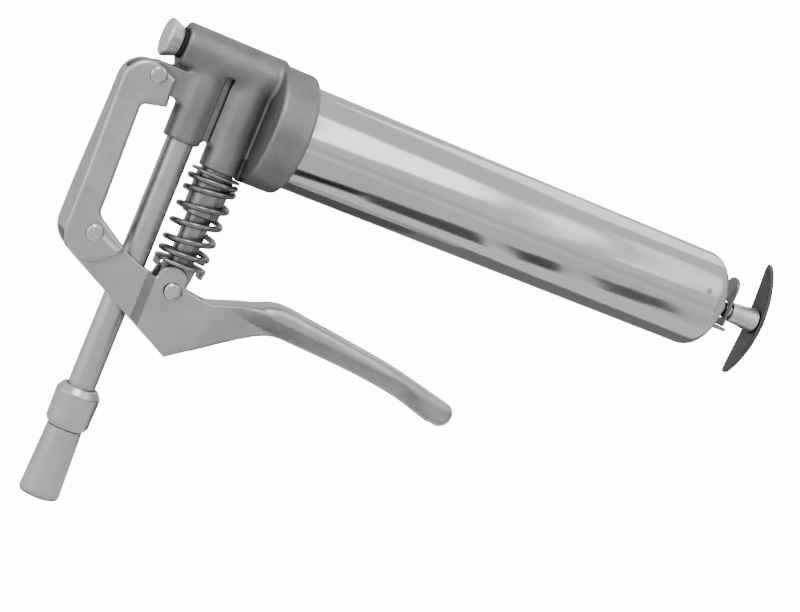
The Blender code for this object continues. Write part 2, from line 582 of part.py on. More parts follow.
def build_follower(body, finishes):
    tail = HANDLE_X + HANDLE_T + GAP
    spigot = ROD_R - 0.4 * MM - GAP
    rod_profile = [(0, FOLLOWER_X + 1.6 * MM), (1.9 * MM, FOLLOWER_X + 1.6 * MM),
                   (1.9 * MM, FOLLOWER_X + 7.3 * MM), (ROD_R, FOLLOWER_X + 7.3 * MM),
                   (ROD_R, HANDLE_X - 1.2 * MM), (spigot, HANDLE_X - 1.2 * MM),
                   (spigot, tail), (ROD_R + 0.9 * MM, tail),
                   (ROD_R + 0.6 * MM, tail + RIVET_TAIL - 0.2 * MM), (0, tail + RIVET_TAIL)]
    node("follower_rod", turned(rod_profile, "X", sides=24), body, finishes["steel"])
    collar_low = BARREL_END + LOCK_OUT + 2.6 * MM
    collar = turned([(ROD_R + GAP, collar_low), (ROD_R + 0.7 * MM, collar_low),
                     (4.5 * MM, HANDLE_X - GAP), (ROD_R + GAP, HANDLE_X - GAP)], "X", sides=24)
    node("rod_collar", collar, body, finishes["pale"])
    node("t_handle", handle_mesh(), body, finishes["black_steel"])
    bore = 1.9 * MM + GAP
    lip = BARREL_R - BARREL_WALL - GAP
    cup = turned([(bore, FOLLOWER_X + 3.4 * MM), (lip - 1.6 * MM, FOLLOWER_X + 3.4 * MM),
                  (lip - 1.6 * MM, FOLLOWER_X + 0.6 * MM), (lip - 0.2 * MM, FOLLOWER_X),
                  (lip, FOLLOWER_X + 5.0 * MM), (bore, FOLLOWER_X + 5.0 * MM)], "X", sides=36)
    node("follower_cup", cup, body, finishes["rubber"])
    disc = ring(bore, lip - 1.2 * MM, FOLLOWER_X + 5.3 * MM, FOLLOWER_X + 7.0 * MM, "X", sides=36)
    node("follower_plate", disc, body, finishes["steel"])
    washer = ring(bore, 6.0 * MM, FOLLOWER_X + 2.2 * MM, FOLLOWER_X + 3.1 * MM, "X", sides=24)
    node("follower_washer", washer, body, finishes["steel"])
    nut = ring(bore, 3.9 * MM, FOLLOWER_X - 1.0 * MM, FOLLOWER_X + 1.9 * MM, "X", sides=6)
    node("follower_nut", nut, body, finishes["steel"])


def build_rod_lock(body, finishes):
    """Tilting plate that bites on the rod; it pivots in the shelf under the rod."""
    x = body["at"][0]
    low = body["at"][2]
    thick = 1.5 * MM
    half = 4.6 * MM
    top = LOCK_TOP
    outline = ([(-half, low), (half, low)]
               + [(half * math.cos(a), top - half + half * math.sin(a))
                  for a in (math.pi * k / 8 for k in range(9))])
    bm = bmesh.new()
    face = bm.faces.new([bm.verts.new((x - thick / 2, y, z)) for y, z in outline])
    grown = bmesh.ops.extrude_face_region(bm, geom=[face])
    moved = [item for item in grown["geom"] if isinstance(item, bmesh.types.BMVert)]
    bmesh.ops.translate(bm, verts=moved, vec=(thick, 0, 0))
    hole = rod(ROD_R + 0.55 * MM, x - 3 * MM, x + 3 * MM, "X", sides=20)
    node("rod_lock_tab", cut(mesh_from(bm), hole), body, finishes["black_steel"])


# ---- Bleed plug ------------------------------------------------------------------------------

def build_bleed(seal_body, plug_body, finishes):
    at = (0, 0, TOP_BOSS_Z)
    shank = 3.6 * MM
    seal = ring(shank + GAP, 5.4 * MM, HEAD_LEFT - 1.2 * MM, HEAD_LEFT - 0.2 * MM, "X", at, 24)
    node("bleed_plug_seal", seal, seal_body, finishes["rubber"])
    inner, outer = HEAD_LEFT - 1.5 * MM, HEAD_LEFT - 6.8 * MM
    knob = turned([(0, outer), (6.4 * MM, outer), (7.0 * MM, outer + 0.7 * MM), (5.3 * MM, inner),
                   (shank, inner), (shank, HEAD_LEFT + 9 * MM), (0, HEAD_LEFT + 9 * MM)],
                  "X", at, 28)
    node("bleed_plug", knob, plug_body, finishes["pale"])


# ---- Coupler ---------------------------------------------------------------------------------

def build_coupler(head, seal_body, jaw_bodies, finishes):
    thread = SLEEVE_BORE_R - GAP
    nose_top = SLEEVE_TOP - 8.0 * MM
    chamber = 3.7 * MM
    body = turned([(TUBE_R + GAP, COUPLER_TOP), (COUPLER_R - 1.3 * MM, COUPLER_TOP),
                   (COUPLER_R, COUPLER_TOP - 1.9 * MM),
                   (COUPLER_R - 0.5 * MM, COUPLER_SHOULDER + 0.9 * MM),
                   (COUPLER_R - 1.2 * MM, COUPLER_SHOULDER), (thread, COUPLER_SHOULDER),
                   (thread, nose_top), (chamber, nose_top), (chamber, nose_top + 5.5 * MM),
                   (1.5 * MM, nose_top + 5.5 * MM), (1.5 * MM, TUBE_LOW - GAP),
                   (TUBE_R + GAP, TUBE_LOW - GAP)], sides=32)
    node("coupler_body", body, head, finishes["tube"])
    cone_top = NOSE_Z + MOUTH_FLAT + CONE_HEIGHT
    sleeve = turned([(SLEEVE_BORE_R, SLEEVE_TOP), (SLEEVE_R - SLEEVE_TAPER, SLEEVE_TOP),
                     (SLEEVE_R + SLEEVE_TAPER, NOSE_Z + 0.8 * MM), (SLEEVE_R, NOSE_Z),
                     (MOUTH_R, NOSE_Z), (MOUTH_R, NOSE_Z + MOUTH_FLAT), (SLEEVE_BORE_R, cone_top)],
                    sides=32)
    node("coupler_sleeve", sleeve, head, finishes["tube"])
    seal_top = nose_top - JAW_TRAVEL - 0.9 * MM
    seal_low = seal_top - 1.8 * MM
    seal = ring(1.2 * MM, SLEEVE_BORE_R - 0.4 * MM, seal_low, seal_top, sides=24)
    node("coupler_seal", seal, seal_body, finishes["rubber"])
    coil("coupler_spring", head, finishes["steel"], "Z", (0, 0, seal_top + GAP), 2.9 * MM,
         0.35 * MM, nose_top + 5.5 * MM - seal_top - 2 * GAP, 5.0, sides=12, bevel=0)
    jaw_low, jaw_high = NOSE_Z + 1.9 * MM, seal_low - GAP
    foot = MOUTH_R - GAP
    rim = SLEEVE_BORE_R - GAP - (JAW_TRAVEL + 0.4 * MM) * math.tan(JAW_CONE)
    knee = jaw_low + (rim - foot) / math.tan(JAW_CONE)
    for k, jaw_body in enumerate(jaw_bodies):
        middle = 2 * math.pi * k / 3
        profile = [(2.9 * MM, jaw_low), (foot, jaw_low), (rim, knee), (rim, jaw_high),
                   (3.4 * MM, jaw_high), (3.4 * MM, jaw_low + 2.4 * MM)]
        spread = math.radians(106)
        jaw = turned(profile, "Z", (0, 0, 0), 8, spread, middle - spread / 2)
        node(f"coupler_jaw_{k + 1}", jaw, jaw_body, finishes["steel"])


def main():
    clear_scene()
    finishes = {
        "casting": paint("die_cast_zinc", 0.30, 0.45, 0.85),
        "chrome": paint("chrome_plate", 0.80, 0.12, 1.0),
        "pressing": paint("zinc_plated_pressing", 0.42, 0.42, 0.85),
        "tube": paint("zinc_plated_tube", 0.46, 0.32, 0.9),
        "steel": paint("bright_steel", 0.62, 0.25, 1.0),
        "dark_steel": paint("oiled_steel", 0.16, 0.4, 0.9),
        "black_steel": paint("black_oxide_steel", 0.07, 0.45, 0.8),
        "pale": paint("pale_anodised_aluminium", 0.66, 0.4, 0.6),
        "rubber": paint("nitrile_rubber", 0.03, 0.7, 0.0),
    }
    gun = empty("gun", (0, 0, 0))
    head = empty("head", (0, 0, 0), gun)
    ball = empty("outlet_check", (0, 0, -1.1 * MM), head)
    link = empty("link_pivot", (LINK_PIN[0], 0, LINK_PIN[1]), head)
    lever = empty("lever_pivot", (LEVER_PIN[0], 0, LEVER_PIN[1]), link)
    plunger = empty("plunger_slide", (PLUNGER_X, 0, PLUNGER_PIN_Z), head)
    gasket = empty("barrel_advance", (GASKET_X, 0, 0), head)
    barrel = empty("barrel_turn", (BARREL_X, 0, 0), gasket)
    follower = empty("follower_slide", (FOLLOWER_X, 0, 0), barrel)
    lock = empty("rod_lock_tilt", (BARREL_END + LOCK_OUT, 0, -(ROD_R + 3.4 * MM)), barrel)
    bleed_seal = empty("bleed_advance", (HEAD_LEFT, 0, TOP_BOSS_Z), head)
    bleed_plug = empty("bleed_turn", (HEAD_LEFT, 0, TOP_BOSS_Z), bleed_seal)
    coupler_seal = empty("seal_lift", (0, 0, SLEEVE_TOP), head)
    jaws = [empty(f"jaw_{k + 1}_slide", (0, 0, NOSE_Z), head) for k in range(3)]

    build_head(head, finishes)
    build_outlet_check(head, ball, finishes)
    build_linkage(link, lever, finishes)
    build_plunger(plunger, finishes)
    build_barrel(gasket, barrel, finishes)
    build_follower(follower, finishes)
    build_rod_lock(lock, finishes)
    build_bleed(bleed_seal, bleed_plug, finishes)
    build_coupler(head, coupler_seal, jaws, finishes)

    gun.location = (-(OVERALL_LEFT + OVERALL_RIGHT) / 2, 0, -NOSE_Z)
    bpy.context.view_layer.update()


main()
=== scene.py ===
"""A pistol-grip mini grease gun in a plain studio: the visual pieces, their finishes, the light
and the camera.

Shapes are written in millimetres in the gun's own axes: +X along the barrel, the extension tube
along -Z, Y = 0 the mirror plane, and the barrel's axis crossing the tube's at (0, 0, 0). SHIFT
takes them to the row frame, where the coupler's nose stands at Z = 0.
"""

import json
import math

import bpy
import numpy as np
from mathutils import Matrix, Vector


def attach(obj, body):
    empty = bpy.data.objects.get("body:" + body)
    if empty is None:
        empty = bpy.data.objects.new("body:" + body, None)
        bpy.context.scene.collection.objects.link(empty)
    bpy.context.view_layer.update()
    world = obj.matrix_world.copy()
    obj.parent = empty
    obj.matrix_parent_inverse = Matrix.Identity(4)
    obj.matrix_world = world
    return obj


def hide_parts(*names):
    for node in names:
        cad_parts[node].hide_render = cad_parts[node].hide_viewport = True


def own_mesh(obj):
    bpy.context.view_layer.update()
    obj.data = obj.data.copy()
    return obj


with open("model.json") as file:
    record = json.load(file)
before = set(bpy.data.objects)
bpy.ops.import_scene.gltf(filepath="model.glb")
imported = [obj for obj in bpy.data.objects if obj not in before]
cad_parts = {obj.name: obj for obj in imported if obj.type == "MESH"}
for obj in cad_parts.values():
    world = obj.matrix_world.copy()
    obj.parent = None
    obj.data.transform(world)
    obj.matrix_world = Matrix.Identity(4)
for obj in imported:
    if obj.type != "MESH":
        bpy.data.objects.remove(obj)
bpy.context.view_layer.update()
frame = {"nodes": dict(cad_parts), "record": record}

MM = 0.001
SHIFT = np.array([-109.2, 0.0, 151.2])

# Lengths of the CAD that the visual pieces share, in millimetres
BARREL_R, BARREL_X, BARREL_END = 19.0, 28.1, 219.6
CUP_R, CUP_BACK, CUP_MOUTH = 22.2, 23.5, 37.0
TOP_BOSS_Z = 15.4
PLUNGER_X = 16.5
LINK_PIN, LEVER_PIN, PLUNGER_PIN = (-17.0, 2.4), (-18.0, -55.6), (16.5, -66.3)
PIN_HOLE_R = 2.3
LINK_HALF_HEAD, LINK_HALF_LEVER, LEVER_HALF = 5.65, 8.85, 5.0     # half widths at the pins
HANDLE_X = 243.4
NOSE_Z = -151.2
PLATE = 1.5                      # thickness of the pressed sheet


# ---- Meshes ----------------------------------------------------------------------------------

def piece(name, points, faces, normals, finish, body, stands_for=()):
    """A shown piece that rides on a body. Points are in millimetres in the gun's axes."""
    mesh = bpy.data.meshes.new(name)
    mesh.from_pydata(((points + SHIFT) * MM).tolist(), [], faces)
    mesh.shade_smooth()
    mesh.normals_split_custom_set_from_vertices(normals.tolist())
    mesh.materials.append(finish)
    thing = bpy.data.objects.new(name, mesh)
    bpy.context.scene.collection.objects.link(thing)
    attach(thing, body)
    if stands_for:
        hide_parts(*stands_for)
    return thing


def rounded(corners, steps=5):
    """A closed profile with each corner rolled to its own radius, and the outward normals.

    Each corner is (radius from the axis, height, corner radius). A corner becomes an arc that
    touches both of its sides, so the normal turns evenly from one side's to the other's. A
    corner on the axis stays as it is.
    """
    flat = np.array([corner[:2] for corner in corners], float)
    turn_sense = np.sum(flat[:, 0] * np.roll(flat[:, 1], -1) - np.roll(flat[:, 0], -1) * flat[:, 1])
    if turn_sense < 0:
        corners = corners[::-1]
        flat = flat[::-1]
    points, normals = [], []
    count = len(corners)
    for k in range(count):
        here, before, after = flat[k], flat[k - 1], flat[(k + 1) % count]
        into, away = here - before, after - here
        long_in, long_out = np.hypot(*into), np.hypot(*away)
        into, away = into / long_in, away / long_out
        bend = math.atan2(into[0] * away[1] - into[1] * away[0], float(into @ away))
        half = math.tan(abs(bend) / 2)
        reach = min(corners[k][2] * half, 0.45 * long_in, 0.45 * long_out)
        if here[0] < 1e-6:
            edge = away if before[0] < 1e-6 else into
            points.append(here)
            normals.append((edge[1], -edge[0]))
            continue
        radius = reach / half if half > 1e-9 else 0.0
        inward = np.array([-into[1], into[0]]) * math.copysign(1, bend)
        centre = here - into * reach + inward * radius
        for step in range(steps + 1):
            angle = bend * step / steps
            across = np.array([into[0] * math.cos(angle) - into[1] * math.sin(angle),
                               into[0] * math.sin(angle) + into[1] * math.cos(angle)])
            outward = np.array([across[1], -across[0]])
            points.append(centre + outward * radius * math.copysign(1, bend))
            normals.append(outward)
    return np.array(points), np.array(normals)


def turned(profile, axis="Z", at=(0, 0, 0), sides=96, steps=5):
    """A surface of revolution: the rolled profile (r, h) spun as (r cos t, r sin t, h)."""
    points, normals = rounded(profile, steps)
    t = np.linspace(0, 2 * math.pi, sides, endpoint=False)
    cos, sin = np.cos(t)[:, None], np.sin(t)[:, None]

    def spun(pairs):
        radial, along = pairs[:, 0][None], pairs[:, 1][None]
        table = np.stack([radial * cos, radial * sin, along + 0 * cos], -1)
        order = {"Z": (0, 1, 2), "X": (2, 0, 1), "Y": (1, 2, 0)}[axis]
        return table[..., order].reshape(-1, 3)

    count = len(points)
    faces = []
    for j in range(sides):
        for k in range(count):
            after, beside = (k + 1) % count, (j + 1) % sides
            if points[k, 0] < 1e-6 and points[after, 0] < 1e-6:
                continue
            face = [j * count + k, beside * count + k, beside * count + after, j * count + after]
            if points[k, 0] < 1e-6:
                face = [j * count + k, beside * count + after, j * count + after]
            elif points[after, 0] < 1e-6:
                face = [j * count + k, beside * count + k, j * count + after]
            faces.append(face)
    return spun(points) + np.array(at, float), faces, spun(normals)


def swept(line, radius, sides=16):
    """A round wire along a line: a circle carried square to the line's own direction."""
    ahead = np.gradient(line, axis=0)
    ahead /= np.linalg.norm(ahead, axis=1)[:, None]
    side = np.cross(ahead, [0.31, 0.17, 0.93])
    side /= np.linalg.norm(side, axis=1)[:, None]
    for k in range(1, len(line)):
        side[k] = side[k - 1] - ahead[k] * (side[k - 1] @ ahead[k])
        side[k] /= np.linalg.norm(side[k])
    over = np.cross(ahead, side)
    t = np.linspace(0, 2 * math.pi, sides, endpoint=False)
    normals = (side[:, None] * np.cos(t)[None, :, None] + over[:, None] * np.sin(t)[None, :, None])
    points = line[:, None] + normals * np.broadcast_to(radius, len(line))[:, None, None]
    faces = [[k * sides + j, (k + 1) * sides + j, (k + 1) * sides + (j + 1) % sides,
              k * sides + (j + 1) % sides][::-1]
             for k in range(len(line) - 1) for j in range(sides)]
    faces += [list(range(sides))[::-1], [(len(line) - 1) * sides + j for j in range(sides)]]
    return points.reshape(-1, 3), faces, normals.reshape(-1, 3)


def coiled(axis, at, radius, wire, length, turns):
    """A compression spring's wire: a helix whose first and last turns lie closed and flat."""
    steps = int(turns * 40)
    turn = np.linspace(0, turns, steps + 1)
    closed = 2.1 * wire
    rise = length - 2 * wire
    pitch = (rise - 2 * closed) / (turns - 2)
    height = wire + np.where(turn < 1, closed * turn,
                             np.where(turn > turns - 1, rise - closed * (turns - turn),
                                      closed + pitch * (turn - 1)))
    height = np.pad(height, 8, "reflect", reflect_type="odd")
    height = np.convolve(height, np.ones(17) / 17, "valid")
    a, b = radius * np.cos(2 * math.pi * turn), radius * np.sin(2 * math.pi * turn)
    line = np.stack([a, b, height] if axis == "Z" else [height, a, b], 1) + np.array(at, float)
    taper = np.clip(np.minimum(turn, turns - turn) * 12, 0.15, 1)
    return swept(line, wire * np.sqrt(taper), 14)


# ---- Surfaces from a distance field ----------------------------------------------------------

def both(a, b, roll):
    """Where two fields overlap: their larger value, with the edge rolled over about `roll` mm."""
    mix = np.clip(0.5 + 0.5 * (b - a) / roll, 0, 1)
    return a * (1 - mix) + b * mix + roll * mix * (1 - mix)


def either(a, b, fillet):
    """Two fields together: their smaller value, with a fillet of about `fillet` mm between."""
    return -both(-a, -b, fillet)


def less(a, b, roll):
    """The first field with the second one cut from it, and the cut's edge rolled."""
    return both(a, -b, roll)


def round_bar(p, axis, at, radius, low, high, roll=0.6):
    """A round bar along an axis: nearness to the axis, kept between two heights."""
    across = [k for k in range(3) if k != axis]
    radial = np.hypot(p[:, across[0]] - at[0], p[:, across[1]] - at[1]) - radius
    return both(radial, np.abs(p[:, axis] - (low + high) / 2) - (high - low) / 2, roll)


def slab(p, low, high, roll=0.6):
    """A box between two corners, as three pairs of planes."""
    sides = [np.abs(p[:, k] - (low[k] + high[k]) / 2) - (high[k] - low[k]) / 2 for k in range(3)]
    return both(both(sides[0], sides[2], roll), sides[1], roll)


def inside_of(p, outline):
    """Distance to a closed (x, z) outline, negative inside it."""
    x, z = p[:, 0], p[:, 2]
    nearest, within = np.full(len(p), 1e9), np.zeros(len(p), bool)
    outline = np.asarray(outline, float)
    for (ax, az), (bx, bz) in zip(outline, np.roll(outline, -1, 0)):
        ex, ez = bx - ax, bz - az
        along = np.clip(((x - ax) * ex + (z - az) * ez) / (ex * ex + ez * ez + 1e-12), 0, 1)
        nearest = np.minimum(nearest, (x - ax - ex * along) ** 2 + (z - az - ez * along) ** 2)
        if bz != az:
            within ^= ((az > z) != (bz > z)) & (x < ax + ex * (z - az) / (bz - az))
    return np.where(within, -1, 1) * np.sqrt(nearest)


def skin(field, low, high, step):
    """The surface where a field is zero, as quads.

    A grid cell that the surface crosses gets one point, first at the mean of the crossings on the
    cell's edges, then pulled on to the surface along the field's slope. Each grid edge that the
    surface crosses joins its four cells' points. Normals are the field's slope.
    """
    lines = [np.arange(a, b + step, step) for a, b in zip(low, high)]
    grid = np.stack(np.meshgrid(*lines, indexing="ij"), -1)
    value = field(grid.reshape(-1, 3)).reshape(grid.shape[:3])
    cells = tuple(n - 1 for n in value.shape)
    total, crossings, edges = np.zeros(cells + (3,)), np.zeros(cells), []
    for a in range(3):
        b, c = (a + 1) % 3, (a + 2) % 3
        first = tuple(slice(0, -1) if k == a else slice(None) for k in range(3))
        second = tuple(slice(1, None) if k == a else slice(None) for k in range(3))
        crossed = (value[first] < 0) != (value[second] < 0)
        drop = np.where(crossed, value[first] - value[second], 1)
        share = np.where(crossed, value[first] / drop, 0)
        point = grid[first].copy()
        point[..., a] += share * step
        point *= crossed[..., None]
        for up_b in (0, 1):
            for up_c in (0, 1):
                near = [slice(None)] * 3
                near[b] = slice(up_b, cells[b] + up_b)
                near[c] = slice(up_c, cells[c] + up_c)
                total += point[tuple(near)]
                crossings += crossed[tuple(near)]
        edges.append((crossed, value[first] < 0))
    touched = crossings > 0
    index = np.full(cells, -1)
    index[touched] = np.arange(touched.sum())
    points = total[touched] / crossings[touched][:, None]
    quads = []
    for a, (crossed, outwards) in enumerate(edges):
        b, c = (a + 1) % 3, (a + 2) % 3
        inner = tuple(slice(None) if k == a else slice(1, -1) for k in range(3))
        around = []
        for part_b, part_c in ((slice(0, -1), slice(0, -1)), (slice(1, None), slice(0, -1)),
                               (slice(1, None), slice(1, None)), (slice(0, -1), slice(1, None))):
            where = [slice(None)] * 3
            where[b], where[c] = part_b, part_c
            around.append(index[tuple(where)][crossed[inner]])
        ring = np.stack(around, 1)
        flip = ~outwards[inner][crossed[inner]]
        ring[flip] = ring[flip][:, ::-1]
        quads.append(ring)

    def slope(at):
        small = 0.03
        return np.stack([(field(at + small * unit) - field(at - small * unit)) / (2 * small)
                         for unit in np.eye(3)], 1)

    for _ in range(2):
        steep = slope(points)
        move = field(points)[:, None] * steep / np.maximum((steep ** 2).sum(1), 0.2)[:, None]
        points = points - np.clip(move, -0.6 * step, 0.6 * step)
    steep = slope(points)
    normals = steep / np.maximum(np.linalg.norm(steep, axis=1), 1e-9)[:, None]
    return points, np.concatenate(quads).tolist(), normals


def arc(centre, radius, first, last, steps):
    """Points on a circle from one angle to another, in degrees, anticlockwise in (x, z)."""
    t = np.radians(np.linspace(first, last, steps + 1))
    return [(centre[0] + radius * math.cos(a), centre[1] + radius * math.sin(a)) for a in t]


def smooth(points, steps):
    """A Catmull-Rom curve through the points."""
    ends = [points[0]] + list(points) + [points[-1]]
    line = []
    for o, p, q, r in zip(ends, ends[1:], ends[2:], ends[3:]):
        o, p, q, r = (np.array(v, float) for v in (o, p, q, r))
        for t in np.arange(steps) / steps:
            line.append(tuple(0.5 * (2 * p + (q - o) * t + (2 * o - 5 * p + 4 * q - r) * t * t
                                     + (3 * p - o - 3 * q + r) * t ** 3)))
    return line + [tuple(points[-1])]


# ---- Finishes --------------------------------------------------------------------------------

def colour(code):
    """An sRGB hex code as the linear colour that a shader takes."""
    parts = [int(code[k:k + 2], 16) / 255 for k in (0, 2, 4)]
    return (*[c / 12.92 if c <= 0.04045 else ((c + 0.055) / 1.055) ** 2.4 for c in parts], 1.0)


def put(tree, kind, links=None, **values):
    """Adds a shader node: values go to its inputs or settings, links join its inputs."""
    made = tree.nodes.new("ShaderNode" + kind)
    for key, value in values.items():
        label = key.replace("_", " ")
        if label in made.inputs:
            made.inputs[label].default_value = value
        else:
            setattr(made, key, value)
    for label, socket in (links or {}).items():
        tree.links.new(socket, made.inputs[label])
    return made


def metal(name, light, dark, rough, patch, grain, bump, shade_and_grime="3a3836", shade_and_grime_share=0.5,
          metallic=1.0, wave=0.0):
    """A metal or rubber finish from three layers, all in the piece's own millimetres.

    light, dark: hex colours that a cloudy pattern of size `patch` mm mixes. rough: lowest and
    highest roughness, following the grain. grain: the texture's size in mm along X, Y and Z, long
    along the way that the surface was drawn, rolled or turned. bump: the grain's depth in mm.
    shade_and_grime: painted shade and dirt in corners, found by how closed in the surface is, and
    its share there.
    wave: depth in mm of the slow unevenness left by forming and polishing.
    """
    finish = bpy.data.materials.new(name)
    finish.use_nodes = True
    tree = finish.node_tree
    tree.nodes.clear()
    here = put(tree, "TexCoord").outputs["Object"]
    clouds = put(tree, "TexNoise", {"Vector": here}, Scale=1000 / patch, Detail=5.0, Roughness=0.6)
    fine = put(tree, "Mapping", {"Vector": here}, Scale=tuple(1000 / size for size in grain))
    grains = put(tree, "TexNoise", {"Vector": fine.outputs[0]}, Scale=1.0, Detail=4.0,
                 Roughness=0.65)
    spread = put(tree, "MapRange", {"Value": clouds.outputs["Fac"]}, From_Min=0.32, From_Max=0.68)
    base = put(tree, "MixRGB", {"Fac": spread.outputs[0]}, Color1=colour(dark),
               Color2=colour(light))
    # Painted shade, with dirt: the colour turns towards a dark grey where the surface is closed in,
    # as if shade fell in its corners and hollows
    closed = put(tree, "AmbientOcclusion", Distance=0.004, samples=6)
    corner = put(tree, "MapRange", {"Value": closed.outputs["AO"]}, From_Min=0.35, From_Max=0.9,
                 To_Min=shade_and_grime_share, To_Max=0.0)
    shaded_and_grimy = put(tree, "MixRGB", {"Fac": corner.outputs[0], "Color1": base.outputs[0]},
                Color2=colour(shade_and_grime))
    shine = put(tree, "MapRange", {"Value": grains.outputs["Fac"]}, From_Min=0.3, From_Max=0.7,
                To_Min=rough[0], To_Max=rough[1])
    relief = put(tree, "Bump", {"Height": grains.outputs["Fac"]}, Strength=1.0,
                 Distance=bump * MM)
    swell = put(tree, "TexNoise", {"Vector": here}, Scale=1000 / 22.0, Detail=1.0)
    waves = put(tree, "Bump", {"Height": swell.outputs["Fac"], "Normal": relief.outputs[0]},
                Strength=1.0, Distance=max(wave, 1e-5) * MM)
    shader = put(tree, "BsdfPrincipled", {"Base Color": shaded_and_grimy.outputs[0],
                                          "Roughness": shine.outputs[0],
                                          "Normal": waves.outputs[0]}, Metallic=metallic)
    put(tree, "OutputMaterial", {"Surface": shader.outputs[0]})
    return finish


# Die-cast aluminium, tumbled: matt pale grey with soft cloudy shading and a faint orange peel
CAST = metal("die_cast_aluminium_tumbled", "a2a2a4", "8e8e91", (0.40, 0.56), 9.0,
             (0.8, 0.8, 0.8), 0.008, "454446", 0.6, wave=0.05)
# Chrome plate over drawn tube: near mirror, the draw lines along X only just soften the bands
CHROME = metal("chrome_plate_on_drawn_tube", "e4e4e6", "dadadc", (0.09, 0.15), 30.0,
               (60.0, 1.6, 1.6), 0.0012, "8a8a8c", 0.2, wave=0.16)
# Zinc plate over pressed sheet: satin, with the mill's rolling grain and a few dull patches
PRESSED = metal("zinc_plated_pressed_steel", "d6d6d6", "c2c2c3", (0.30, 0.42), 14.0,
                (7.0, 0.6, 0.6), 0.003, "74726f", 0.6, wave=0.10)
# Zinc plate over drawn tube and turned bar: a little brighter, lines along the tube
PLATED = metal("zinc_plated_drawn_steel", "dadadb", "c8c8ca", (0.28, 0.40), 12.0,
               (0.35, 0.35, 14.0), 0.0012, "6c6b6b", 0.5)
# Turned bright steel: rivet heads, rod and jaws catch small sharp highlights
BRIGHT = metal("bright_turned_steel", "e6e6e6", "d6d6d8", (0.18, 0.30), 6.0,
               (0.3, 0.3, 0.3), 0.002, "4c4b4b", 0.5)
# Ground steel under a film of oil: mid grey with a soft gloss, darker in its corners, where oil
# gathers and shade is painted
OILED = metal("oiled_ground_steel", "b2b2b4", "989899", (0.26, 0.38), 5.0,
              (0.5, 0.5, 4.0), 0.002, "4a494a", 0.5)
# Oil-tempered spring wire: darker than its neighbours, so that each coil reads on its own
WIRE = metal("oil_tempered_spring_wire", "96969a", "808084", (0.22, 0.34), 4.0,
             (0.6, 0.6, 0.6), 0.002, "2c2b2c", 0.7)
# Black oxide on pressed steel: charcoal with a soft sheen
BLACKED = metal("black_oxide_pressed_steel", "6c6c6e", "58585b", (0.34, 0.5), 8.0,
                (0.6, 0.6, 0.6), 0.004, "1c1b1b", 0.5)
# Pale anodised aluminium: almost white, wide soft highlight
PALE = metal("pale_anodised_aluminium", "f0f0ef", "e4e4e4", (0.34, 0.46), 8.0,
             (0.4, 0.4, 0.4), 0.003, "77767a", 0.5)
# Moulded nitrile rubber: black, no mirror, fine mould grain
RUBBER = metal("moulded_nitrile_rubber", "222223", "1a1a1b", (0.6, 0.75), 5.0,
               (0.5, 0.5, 0.5), 0.01, "101010", 0.3, metallic=0.0)

SLOT_OF = {entry["node"]: entry["material_slot"] for entry in frame["record"]["subparts"]}
FINISH_OF_SLOT = {"casting": CAST, "chrome_plate": CHROME, "pressed_steel": PRESSED,
                  "plated_steel": PLATED, "bright_steel": BRIGHT, "oiled_steel": OILED,
                  "black_steel": BLACKED, "pale_aluminium": PALE, "nitrile_rubber": RUBBER}
for name, thing in frame["nodes"].items():
    thing.data.materials.clear()
    thing.data.materials.append(FINISH_OF_SLOT[SLOT_OF[name]])


# ---- Pump head -------------------------------------------------------------------------------

def head_field(p):
    """Cast bosses run together with fillets, then the socket, slots and bores cut from them."""
    cup = round_bar(p, 0, (0, 0), CUP_R, CUP_BACK, CUP_MOUTH, 1.6)
    top = round_bar(p, 0, (0, TOP_BOSS_Z), 8.0, -12.0, 25.0, 1.0)
    outlet = round_bar(p, 2, (0, 0), 6.7, -16.3, 16.0, 1.4)
    pump = round_bar(p, 2, (PLUNGER_X, 0), 7.2, -21.5, 16.5, 0.8)
    web = slab(p, (-1, -4.2, -13.3), (26, 4.2, 16), 1.0)
    lug = both(inside_of(p, arc(LINK_PIN, 4.6, 90, 270, 20) + [(0, -4.5), (0, 7.2)]),
               np.abs(p[:, 1]) - 3.85, 0.8)
    body = either(either(top, outlet, 2.0), either(pump, web, 1.6), 2.0)
    body = either(body, cup, 1.8)
    body = either(body, lug, 1.5)
    side = np.abs(p[:, 1])
    pocket = np.stack([p[:, 0], side, p[:, 2]], 1)
    body = less(body, slab(pocket, (5.9, 2.4, -30), (8.6, 20, 10.5), 0.8), 0.6)
    body = less(body, round_bar(p, 0, (0, 0), 19.3, 25.5, 50, 0.3), 0.5)
    body = less(body, round_bar(p, 2, (0, 0), 5.3, -30, -9, 0.3), 0.5)
    body = less(body, round_bar(p, 2, (PLUNGER_X, 0), 6.2, -40, -12, 0.3), 0.5)
    body = less(body, round_bar(p, 0, (0, TOP_BOSS_Z), 4.0, -20, 2, 0.3), 0.5)
    pivot = np.hypot(p[:, 0] - LINK_PIN[0], p[:, 2] - LINK_PIN[1]) - PIN_HOLE_R
    return less(body, pivot, 0.3)


piece("head_casting_shell", *skin(head_field, (-23, -24, -25), (39, 24, 26), 0.5), CAST, "head",
      ["head_casting"])


# ---- Linkage ---------------------------------------------------------------------------------

def sheet_channel(p, outline, hollow, half, roll, edge=0.45):
    """Pressed channel: an outline with a half width, less the same thing one sheet thinner."""
    side = np.abs(p[:, 1])
    outer = both(inside_of(p, outline), side - half, roll)
    inner = both(inside_of(p, hollow), side - half + PLATE, np.maximum(roll - PLATE, 0.3))
    return less(outer, inner, edge)


def between(value, places, amounts):
    """An amount that changes in straight steps from place to place."""
    return np.interp(value, places, amounts)


